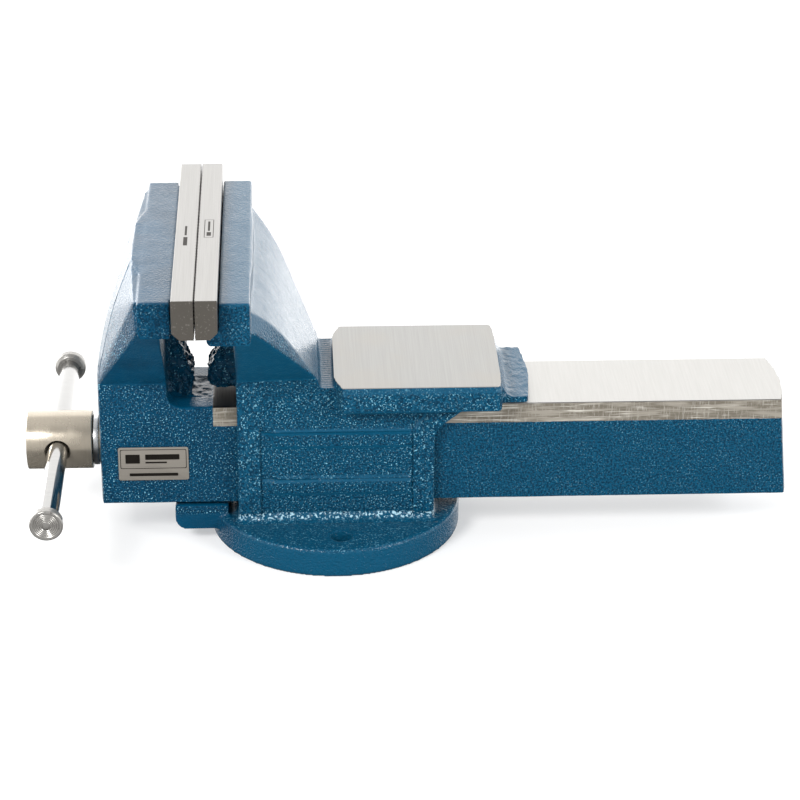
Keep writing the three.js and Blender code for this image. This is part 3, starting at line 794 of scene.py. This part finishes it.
def work_fixed(places, outward):
    """The fixed body's casting texture, panels, hood and shelf, with its machined faces flat."""
    x, y, z = places.T
    front, back, top = ANVIL["front"] - 1, ANVIL["back"] + 1, ANVIL["top"]
    on_anvil = window(x, front, back, 0.4) * window(z, 99.6, 103, 0.6)
    in_tunnel = window(np.abs(y), 0, TUNNEL["half"], 0.3)
    in_tunnel = in_tunnel * window(z, TUNNEL["bottom"], TUNNEL["top"], 0.3)
    on_seat = seat(x, z, JAW_SEAT["fixed"] - 1, JAW_SEAT["fixed"] + 0.6)
    underside = window(z, -1, 0.6, 0.4)
    made = sunk(places, outward, np.clip(on_anvil + in_tunnel + on_seat + underside, 0, 1))
    made[(z > top - 1.05) & (z < 101.6) & (x > front) & (x < back), 2] = top
    made[z < 0.5, 2] = 0
    made -= outward * panel_grooves(places)[:, None]
    made -= outward * foot_runs(places)[:, None]
    made[:, 2] -= hood_folds(places, outward)
    made[:, 2] -= shelf_ridges(places, outward)
    return made


def front_crease(places, outward):
    """How deep the crease down each side of the moving jaw's flare lies."""
    x, y, z = places.T
    half = np.interp(z, CREASE["z"], CREASE["half"])
    crease = window(np.abs(y) - half, -0.2, 0.4, 0.6) * window(z, 101, 168, 3)
    crease *= (x < CREASE["back"]) * (outward[:, 0] < -0.2)
    return CREASE["deep"] * crease * (1 + 0.5 * grain(places, 4, 19))


def work_moving(places, outward):
    """The moving jaw's casting texture and crease, with the beam's top and upper sides milled flat."""
    x, y, z = places.T
    milled = window(x, BEAM["front"], BEAM["tail"], 0.6)
    milled = milled * window(z, BEAM["milled"], BEAM["top"] + 1, 0.6)
    on_seat = seat(x, z, JAW_SEAT["moving"] - 0.6, JAW_SEAT["moving"] + 1)
    made = sunk(places, outward, np.clip(milled + on_seat, 0, 1))
    made -= outward * front_crease(places, outward)[:, None]
    top = (z > BEAM["top"] - 1.05) & (z < BEAM["top"] + 0.5)
    made[top & (outward[:, 2] > 0.3) & (x > BEAM["rib_back"]), 2] = BEAM["top"]
    side = (np.abs(y) > BEAM["half"] - 1.05) & (z > BEAM["milled"]) & (x > BEAM["front"]) & (x < 250)
    made[side, 1] = np.sign(y[side]) * BEAM["strip_half"]
    return made


def make_castings():
    """Both castings, in one blue enamel."""
    fixed = casting("fixed_casting", "fixed_body", work_fixed)
    dress(fixed, "vise_base", "blue_paint", [fixed_casting_material()], "fixed_body", sharp=42)
    moving = casting("moving_casting", "moving_jaw_body", work_moving)
    dress(moving, "moving_jaw", "blue_paint", [moving_casting_material()], "moving_jaw_body", sharp=42)


# ---- jaw plates and their screws ----
def serrated_slab(face, outward):
    """A slab whose gripping side is cut by crossed diagonal grooves into rows of pyramids."""
    columns = round(2 * PLATE["half"] / (SERRATION["pitch"] / 2))
    rows = round((PLATE["top"] - PLATE["bottom"]) / (SERRATION["pitch"] / 2))
    vertices = []
    for j in range(rows + 1):
        for i in range(columns + 1):
            y = -PLATE["half"] + 2 * PLATE["half"] * i / columns
            z = PLATE["bottom"] + (PLATE["top"] - PLATE["bottom"]) * j / rows
            vertices.append((face + outward * SERRATION["deep"] * ((i + j) % 2), y, z))

    def at(i, j):
        return j * (columns + 1) + i

    faces = []
    for j in range(rows):
        for i in range(columns):
            a, b, c, d = at(i, j), at(i + 1, j), at(i + 1, j + 1), at(i, j + 1)
            faces += [(a, b, c), (a, c, d)] if (i + j) % 2 else [(a, b, d), (b, c, d)]
    edge = [at(i, 0) for i in range(columns)] + [at(columns, j) for j in range(rows)]
    edge += [at(i, rows) for i in range(columns, 0, -1)] + [at(0, j) for j in range(rows, 0, -1)]
    back = range(len(vertices), len(vertices) + len(edge))
    vertices += [(face + outward * SERRATION["slab"], *vertices[index][1:]) for index in edge]
    faces += [(edge[k - 1], edge[k], back[k], back[k - 1]) for k in range(len(edge))]
    return vertices, faces + [tuple(back)]


def plate_body(face, outward):
    """The plate behind its serrations, with eased edges."""
    front = face + outward * (SERRATION["slab"] - 0.1)
    back = face + outward * PLATE["thick"]
    bottom, top, chamfer = PLATE["bottom"], PLATE["top"], PLATE["chamfer"]
    section = [(front, bottom), (front, top), (back, top)]
    section += [(back, bottom + chamfer), (back - outward * chamfer, bottom)]
    body = solid("plate_body", *prism(section, -PLATE["half"], PLATE["half"]))
    work = bmesh.new()
    work.from_mesh(body.data)
    edges = [e for e in work.edges if all(abs(v.co.x / MM - front) > 0.5 for v in e.verts)]
    width = PLATE["eased"] * MM
    bmesh.ops.bevel(work, geom=edges, offset=width, segments=2, affect="EDGES", profile=0.5)
    work.to_mesh(body.data)
    work.free()
    return body


def rod(radius, low, high, y, z, sides=48):
    """A plain cutter along X."""
    profile = [(low, 0), (low, radius), (high, radius), (high, 0)]
    return solid("cutter", *turned(profile, "X", (y, z), sides))


def jaw_plate(jaw, face, outward, material):
    """A jaw plate with serrations and with stepped holes for its screws."""
    plate = plate_body(face, outward)
    combine(plate, solid("slab", *serrated_slab(face, outward)), "UNION")
    bores = ((PLATE_SCREW["recess"], PLATE_SCREW["deep"] + 0.8), (PLATE_SCREW["hole"], 20))
    for side in (-1, 1):
        for radius, deep in bores:
            ends = sorted((face - outward, face + outward * deep))
            combine(plate, rod(radius, *ends, side * PLATE_SCREW["y"], PLATE_SCREW["z"]))
    plate.name = jaw + "_plate_serrated"
    return dress(plate, JAW_BODY[jaw], "ground_steel", [material], jaw + "_jaw_plate", sharp=25)


def plate_screw(jaw, face, outward, where, side, material):
    """A socket-head screw, its head sunk in the plate."""
    start = face + outward * 0.4
    seat = start + outward * PLATE_SCREW["deep"]
    tip = face + outward * (PLATE["thick"] + PLATE_SCREW["tip"])
    head, shank = PLATE_SCREW["head"], PLATE_SCREW["shank"]
    profile = [(start, 0), (start, head), (seat, head), (seat, shank), (tip, shank), (tip, 0)]
    centre = (side * PLATE_SCREW["y"], PLATE_SCREW["z"])
    screw = solid("screw", *turned(eased(profile, 0.6), "X", centre, 64))
    ends = sorted((start - outward, start + outward * PLATE_SCREW["socket_deep"]))
    combine(screw, rod(PLATE_SCREW["socket"], *ends, *centre, sides=6))
    screw.name = f"{jaw}_plate_screw_{where}"
    return dress(screw, JAW_BODY[jaw], "black_oxide", [material], f"{jaw}_jaw_screw_{where}")


def make_jaws(used):
    """Both jaw plates and their four screws."""
    for jaw, outward in (("fixed", 1), ("moving", -1)):
        face = PLATE["parting"] + outward * PLATE["gap"]
        jaw_plate(jaw, face, outward, used["plate"])
        for where, side in (("near", -1), ("far", 1)):
            plate_screw(jaw, face, outward, where, side, used["oxide"])


# ---- nameplate ----
def rounded_outline(x0, x1, z0, z1, corner, steps=6):
    """The corners of a rounded rectangle in X and Z."""
    made = []
    for (x, z), start in zip(((x1, z1), (x0, z1), (x0, z0), (x1, z0)), (0, 90, 180, 270)):
        middle_x = x - corner if x == x1 else x + corner
        middle_z = z - corner if z == z1 else z + corner
        for step in range(steps + 1):
            angle = math.radians(start + 90 * step / steps)
            made.append((middle_x + corner * math.cos(angle), middle_z + corner * math.sin(angle)))
    return made


def ring_prism(outer, inner, low, high):
    """A flat frame between two outlines with the same number of points."""
    count = len(outer)
    loops = [[(x, y, z) for x, z in loop] for y in (low, high) for loop in (outer, inner)]
    vertices = [point for loop in loops for point in loop]
    faces = []
    for a, b in ((0, 1), (1, 3), (3, 2), (2, 0)):
        faces += band(range(a * count, (a + 1) * count), range(b * count, (b + 1) * count))
    return vertices, faces


def label_sheet(low, high):
    """The nameplate's sheet between two corners, with eased edges."""
    outline = rounded_outline(low.x, high.x, low.z, high.z, NAMEPLATE["corner"])
    sheet = solid("sheet", *prism(outline, low.y, high.y))
    edge = sheet.modifiers.new("edge", "BEVEL")
    edge.width = NAMEPLATE["edge"] * MM
    edge.segments = 2
    edge.limit_method = "ANGLE"
    return settle(sheet)


def label_marks(low, high):
    """A frame line and plain bars, standing for no mark, just proud of the sheet."""
    front = low.y - NAMEPLATE["raise"]
    back = low.y + NAMEPLATE["edge"]
    inset = NAMEPLATE["inset"]
    split = low.z + NAMEPLATE["split"] * (high.z - low.z)
    loops = [
        rounded_outline(low.x + inset + d, high.x - inset - d, split + d, high.z - inset - d, 0.8)
        for d in (0, NAMEPLATE["line"])
    ]
    bars = [
        (low.x + 4, low.x + 12, split + 3.2, high.z - 4.2),
        (low.x + 15, high.x - 5, split + 5.4, high.z - 4.2),
        (low.x + 15, high.x - 12, split + 3.2, split + 4.2),
        (low.x + 6, high.x - 6, low.z + 2.6, low.z + 4.4),
    ]
    marks = [ring_prism(*loops, front, back)]
    marks += [prism(rounded_outline(*bar, 0.3, 3), front, back) for bar in bars]
    return solid("etched", *joined(*marks))


def make_nameplate(used):
    """A brushed plate with etched marks in a second material."""
    low, high = (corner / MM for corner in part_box("nameplate"))
    sheet = label_sheet(low, high)
    etched = label_marks(low, high)
    work = bmesh.new()
    work.from_mesh(sheet.data)
    count = len(work.faces)
    work.from_mesh(etched.data)
    work.faces.ensure_lookup_table()
    for face in work.faces[count:]:
        face.material_index = 1
    work.to_mesh(sheet.data)
    work.free()
    bpy.data.objects.remove(etched)
    sheet.name = "label_plate"
    dress(sheet, "moving_jaw", "brushed_label", [used["label"], used["etch"]], "nameplate", sharp=30)


# ---- spindle, spring and collar ----
def thread(sides):
    """A right-handed screw thread, whose ends fade into its root."""
    start, end, lead = SHANK["thread"], SHANK["thread_end"], THREAD["lead"]
    section = THREAD["section"]
    turns = math.ceil((end - start) / lead) + 1
    vertices = []
    for row in range(turns * len(section)):
        share, rise = section[row % len(section)]
        for j in range(sides):
            x = start + lead * (row // len(section) + share + j / sides - 1)
            x = min(max(x, start), end)
            fade = min(1, (x - start) / THREAD["fade"], (end - x) / THREAD["fade"])
            radius = THREAD["root"] + (THREAD["crest"] - THREAD["root"]) * rise * fade
            angle = FULL_TURN * j / sides
            vertices.append((x, radius * math.cos(angle), AXIS_Z + radius * math.sin(angle)))

    def at(row, j):
        return row * sides + j if j < sides else (row + len(section)) * sides

    faces = [
        (at(row, j), at(row, j + 1), at(row + 1, j + 1), at(row + 1, j))
        for row in range((turns - 1) * len(section) - 1) for j in range(sides)
    ]
    return vertices, faces


def spindle_parts(sides):
    """The points and faces of the spindle's head and shank, its thread and its plain tip."""
    root, radius, neck = THREAD["root"], SHANK["radius"], SHANK["neck"]
    front = [
        (HEAD["front"], 0), (HEAD["front"], HEAD["radius"]), (HEAD["shoulder"], HEAD["radius"]),
        (HEAD["shoulder"], radius), (SHANK["thread"] - 2, radius), (SHANK["thread"], root),
    ]
    tip = SHANK["tip"]
    back = [(SHANK["thread_end"], root), (tip - 1, neck), (tip, neck - 2), (tip, 0)]
    centre = (0, AXIS_Z)
    ends = [turned(profile, "X", centre, sides) for profile in (eased(front, 0.9), back)]
    return joined(ends[0], thread(sides), ends[1])


def bar_bore():
    """A cutter for the handle's bore through the head, flared at both mouths."""
    reach = HEAD["radius"] + 2
    bore, throat = HEAD["bore"], HEAD["throat"]
    mouth = bore + HEAD["flare"]
    profile = [(-reach, 0), (-reach, mouth), (-throat, bore), (throat, bore), (reach, mouth), (reach, 0)]
    return solid("bore", *turned(profile, "Y", (HEAD["bore_x"], AXIS_Z), 64))


def make_spindle(used, sides=64):
    """The screw: a round head bored for the bar, a plain shank and the thread."""
    spindle = solid("spindle_turned", *spindle_parts(sides))
    combine(spindle, bar_bore())
    hole = circle(CROSS_PIN["x"], 0, CROSS_PIN["hole"], 32)
    combine(spindle, solid("pin_hole", *prism(hole, AXIS_Z - 20, AXIS_Z + 20, "Z")))
    for face in spindle.data.polygons:
        face.material_index = 1 if face.center.x > SHANK["thread"] * MM else 0
    dress(spindle, "screw", "satin_nickel", [used["nickel"], used["thread"]], "spindle", sharp=32)


def make_collar(used):
    """The thrust collar between the head's shoulder and the block."""
    front, back, radius, bore = (COLLAR[key] for key in ("front", "back", "radius", "bore"))
    corners = [(front, bore), (front, radius), (back, radius), (back, bore), (front, bore)]
    collar = solid("thrust_ring", *turned(eased(corners, 0.3), "X", (0, AXIS_Z), 96))
    dress(collar, "screw", "zinc_plate", [used["zinc"]], "thrust_collar")


def make_spring(used, steps=40, sides=14):
    """The return spring's round wire, wound about the spindle's shank."""
    count = SPRING["turns"] * steps
    first = SPRING["front"] + SPRING["wire"]
    last = SPRING["back"] - SPRING["wire"]
    vertices = []
    for step in range(count + 1):
        angle = FULL_TURN * SPRING["turns"] * step / count
        x = first + (last - first) * step / count
        for radius, along in circle(SPRING["radius"], x, SPRING["wire"], sides):
            vertices.append((along, radius * math.cos(angle), AXIS_Z + radius * math.sin(angle)))
    rings = [range(step * sides, (step + 1) * sides) for step in range(count + 1)]
    faces = [face for a, b in zip(rings, rings[1:]) for face in band(a, b)]
    spring = solid("coil_spring", vertices, faces + [tuple(rings[0]), tuple(rings[-1])])
    dress(spring, "screw", "spring_steel", [used["spring"]], "return_spring")


# ---- handle ----
def make_bar(used):
    """The bar that slides through the head, its ends drawn down for the knobs."""
    radius, spigot, tip, rounded = (BAR[key] for key in ("radius", "spigot", "tip", "rounded"))
    near, far, near_end, far_end = (BAR[key] for key in ("near", "far", "near_end", "far_end"))
    profile = [
        (near_end, 0), (near_end, tip), (near_end + rounded, spigot), (near, spigot), (near, radius),
        (far, radius), (far, spigot), (far_end - rounded, spigot), (far_end, tip), (far_end, 0),
    ]
    bar = solid("handle_rod", *turned(eased(profile, 0.5), "Y", (HEAD["bore_x"], AXIS_Z), 96))
    for face in bar.data.polygons:
        face.material_index = 0 if near * MM < face.center.y < far * MM else 1
    dress(bar, "handle", "chrome", [used["chrome"], used["knob"]], "handle_bar")


def knob_profile(inner, side):
    """A knob from its inner face outwards, with turned rings on its outer face."""
    radius, bore, rounded, groove = (KNOB[key] for key in ("radius", "bore", "round", "groove"))
    outer = inner + side * KNOB["thick"]
    mouth = BAR["tip"] + 0.25
    profile = [(inner, bore), (inner, radius - rounded), (inner + side * rounded, radius)]
    profile += [(outer - side * 0.7, radius), (outer, radius - 0.6), (outer, radius - rounded)]
    rim = radius - rounded - 0.3
    step = (rim - mouth) / KNOB["rings"]
    for k in range(KNOB["rings"]):
        crest = rim - step * k
        profile += [(outer - side * 0.02, crest), (outer - side * groove, crest - step * 0.45)]
        profile += [(outer - side * 0.02, crest - step * 0.8)]
    return profile + [(outer, mouth), (outer - side * 1.4, bore), (inner, bore)]


def make_knobs(used):
    """The two knobs riveted on the bar's ends."""
    gap = KNOB["gap"]
    for where, inner, side in (("near", BAR["near"] - gap, -1), ("far", BAR["far"] + gap, 1)):
        profile = eased(knob_profile(inner, side), 0.12, 2)
        knob = solid("knob", *turned(profile, "Y", (HEAD["bore_x"], AXIS_Z), 96))
        knob.name = "turned_knob_" + where
        dress(knob, "handle", "turned_steel", [used["knob"]], "handle_knob_" + where)


# ---- CAD nodes that keep their own shape ----
def keep_nodes(used):
    """Hidden hardware shows as its CAD nodes, with eased edges and its own metal."""
    kept = {
        "spindle_nut": "iron", "spring_washer": "zinc", "cross_pin": "spring", "nut_bolt_front": "oxide",
        "nut_bolt_rear": "oxide", "nut_washer_front": "zinc", "nut_washer_rear": "zinc",
    }
    for name, material in kept.items():
        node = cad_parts[name]
        node.data.materials.clear()
        node.data.materials.append(used[material])
        edges = node.modifiers.new("eased_edges", "BEVEL")
        edges.width = KEPT_EDGE * MM
        edges.segments = 2
        edges.limit_method = "ANGLE"
        edges.angle_limit = math.radians(40)


# ---- stage ----
def floor_material():
    """A pale, even floor, lit a little from within so that it stays near white."""
    tree = material_tree("pale_floor")
    speckle = tree.noise(60, 2)
    return tree.shade(
        Base_Color=tree.colour(speckle, (0.60, 0.60, 0.60), (0.62, 0.62, 0.62)),
        Roughness=0.9,
        Specular_IOR_Level=0.0,
        Emission_Color=(1.0, 1.0, 1.0),
        Emission_Strength=FLOOR["glow"],
    )


def make_floor():
    """A wide floor just under the base, which glossy rays don't see."""
    half, steps = FLOOR["half"], FLOOR["steps"]
    spacing = 2 * half / steps
    row = steps + 1
    vertices = [
        (i * spacing - half, j * spacing - half, FLOOR["z"]) for j in range(row) for i in range(row)
    ]
    corners = [j * row + i for j in range(steps) for i in range(steps)]
    faces = [(corner, corner + 1, corner + row + 1, corner + row) for corner in corners]
    mesh = bpy.data.meshes.new("floor")
    mesh.from_pydata([Vector(point) * MM for point in vertices], [], faces)
    floor = stand("floor", mesh)
    floor.data.materials.append(floor_material())
    floor.visible_glossy = False


def sky_by_height(tree):
    """The dome's brightness from straight down to straight up."""
    ramp = tree.nodes.new("ShaderNodeValToRGB")
    tree.feed(tree.math("MULTIPLY", tree.math("ADD", tree.z, 1.0), 0.5), ramp.inputs[0])
    steps = ramp.color_ramp.elements
    while len(steps) < len(SKY_STEPS):
        steps.new(0.5)
    for step, (position, level) in zip(steps, SKY_STEPS):
        step.position = position
        step.color = (level, level, level, 1)
    return ramp.outputs[0]


def make_sky():
    """A studio dome: bright behind the vise and below, softer overhead, dim in front and underneath."""
    world = bpy.data.worlds.new("studio")
    bpy.context.scene.world = world
    tree = Tree(world, "Generated")
    sweep = tree.both(tree.ramp(tree.y, *SWEEP["behind"]), tree.ramp(tree.z, *SWEEP["low"]))
    level = tree.math("MAXIMUM", sky_by_height(tree), sweep)
    side = tree.ramp(tree.y, *FRONT["fade"], FRONT["level"], 1.0)
    background = tree.nodes["Background"]
    tree.feed(level, background.inputs["Color"])
    tree.feed(tree.math("MULTIPLY", side, SKY_LEVEL), background.inputs["Strength"])


def area_light(name, place, aim, size, power):
    """A soft panel of light that the camera itself doesn't see."""
    light = bpy.data.lights.new(name, "AREA")
    light.shape = "RECTANGLE"
    light.size, light.size_y = size
    light.energy = power
    lamp = bpy.data.objects.new(name, light)
    lamp.location = Vector(place)
    lamp.visible_camera = False
    lamp.rotation_euler = (Vector(aim) - Vector(place)).to_track_quat("-Z", "Y").to_euler()
    bpy.context.scene.collection.objects.link(lamp)


def make_lights():
    """Three soft panels: the key at the near left, a fill at the right and one behind the handle."""
    middle = (0, 0, 0.08)
    area_light("key", (-1.1, -1.5, 1.5), middle, (0.8, 0.5), 42)
    area_light("fill", (1.5, -1.3, 1.0), middle, (0.6, 0.5), 22)
    area_light("left_panel", (-1.7, 1.3, 0.35), middle, (1.4, 0.7), 24)


def make_camera():
    """The photograph's camera, turned and rolled as it was."""
    camera = bpy.data.cameras.new("camera")
    camera.lens = CAMERA["lens"]
    camera.sensor_width = CAMERA["sensor"]
    camera.clip_end = 50
    holder = bpy.data.objects.new("camera", camera)
    tilt = math.radians(90 - CAMERA["elevation"])
    turn = Matrix.Rotation(-math.radians(CAMERA["azimuth"]), 4, "Z")
    turn = turn @ Matrix.Rotation(tilt, 4, "X")
    roll = Matrix.Rotation(math.radians(CAMERA["roll"]), 4, "Z")
    holder.matrix_world = Matrix.Translation(Vector(CAMERA["place"]) * MM) @ turn @ roll
    bpy.context.scene.collection.objects.link(holder)
    bpy.context.scene.camera = holder


def main():
    """Builds the vise and its stage."""
    used = materials()
    make_castings()
    make_jaws(used)
    make_nameplate(used)
    make_spindle(used)
    make_collar(used)
    make_spring(used)
    make_bar(used)
    make_knobs(used)
    keep_nodes(used)
    make_floor()
    make_sky()
    make_lights()
    make_camera()
    bpy.context.scene.view_settings.view_transform = "Standard"


main()
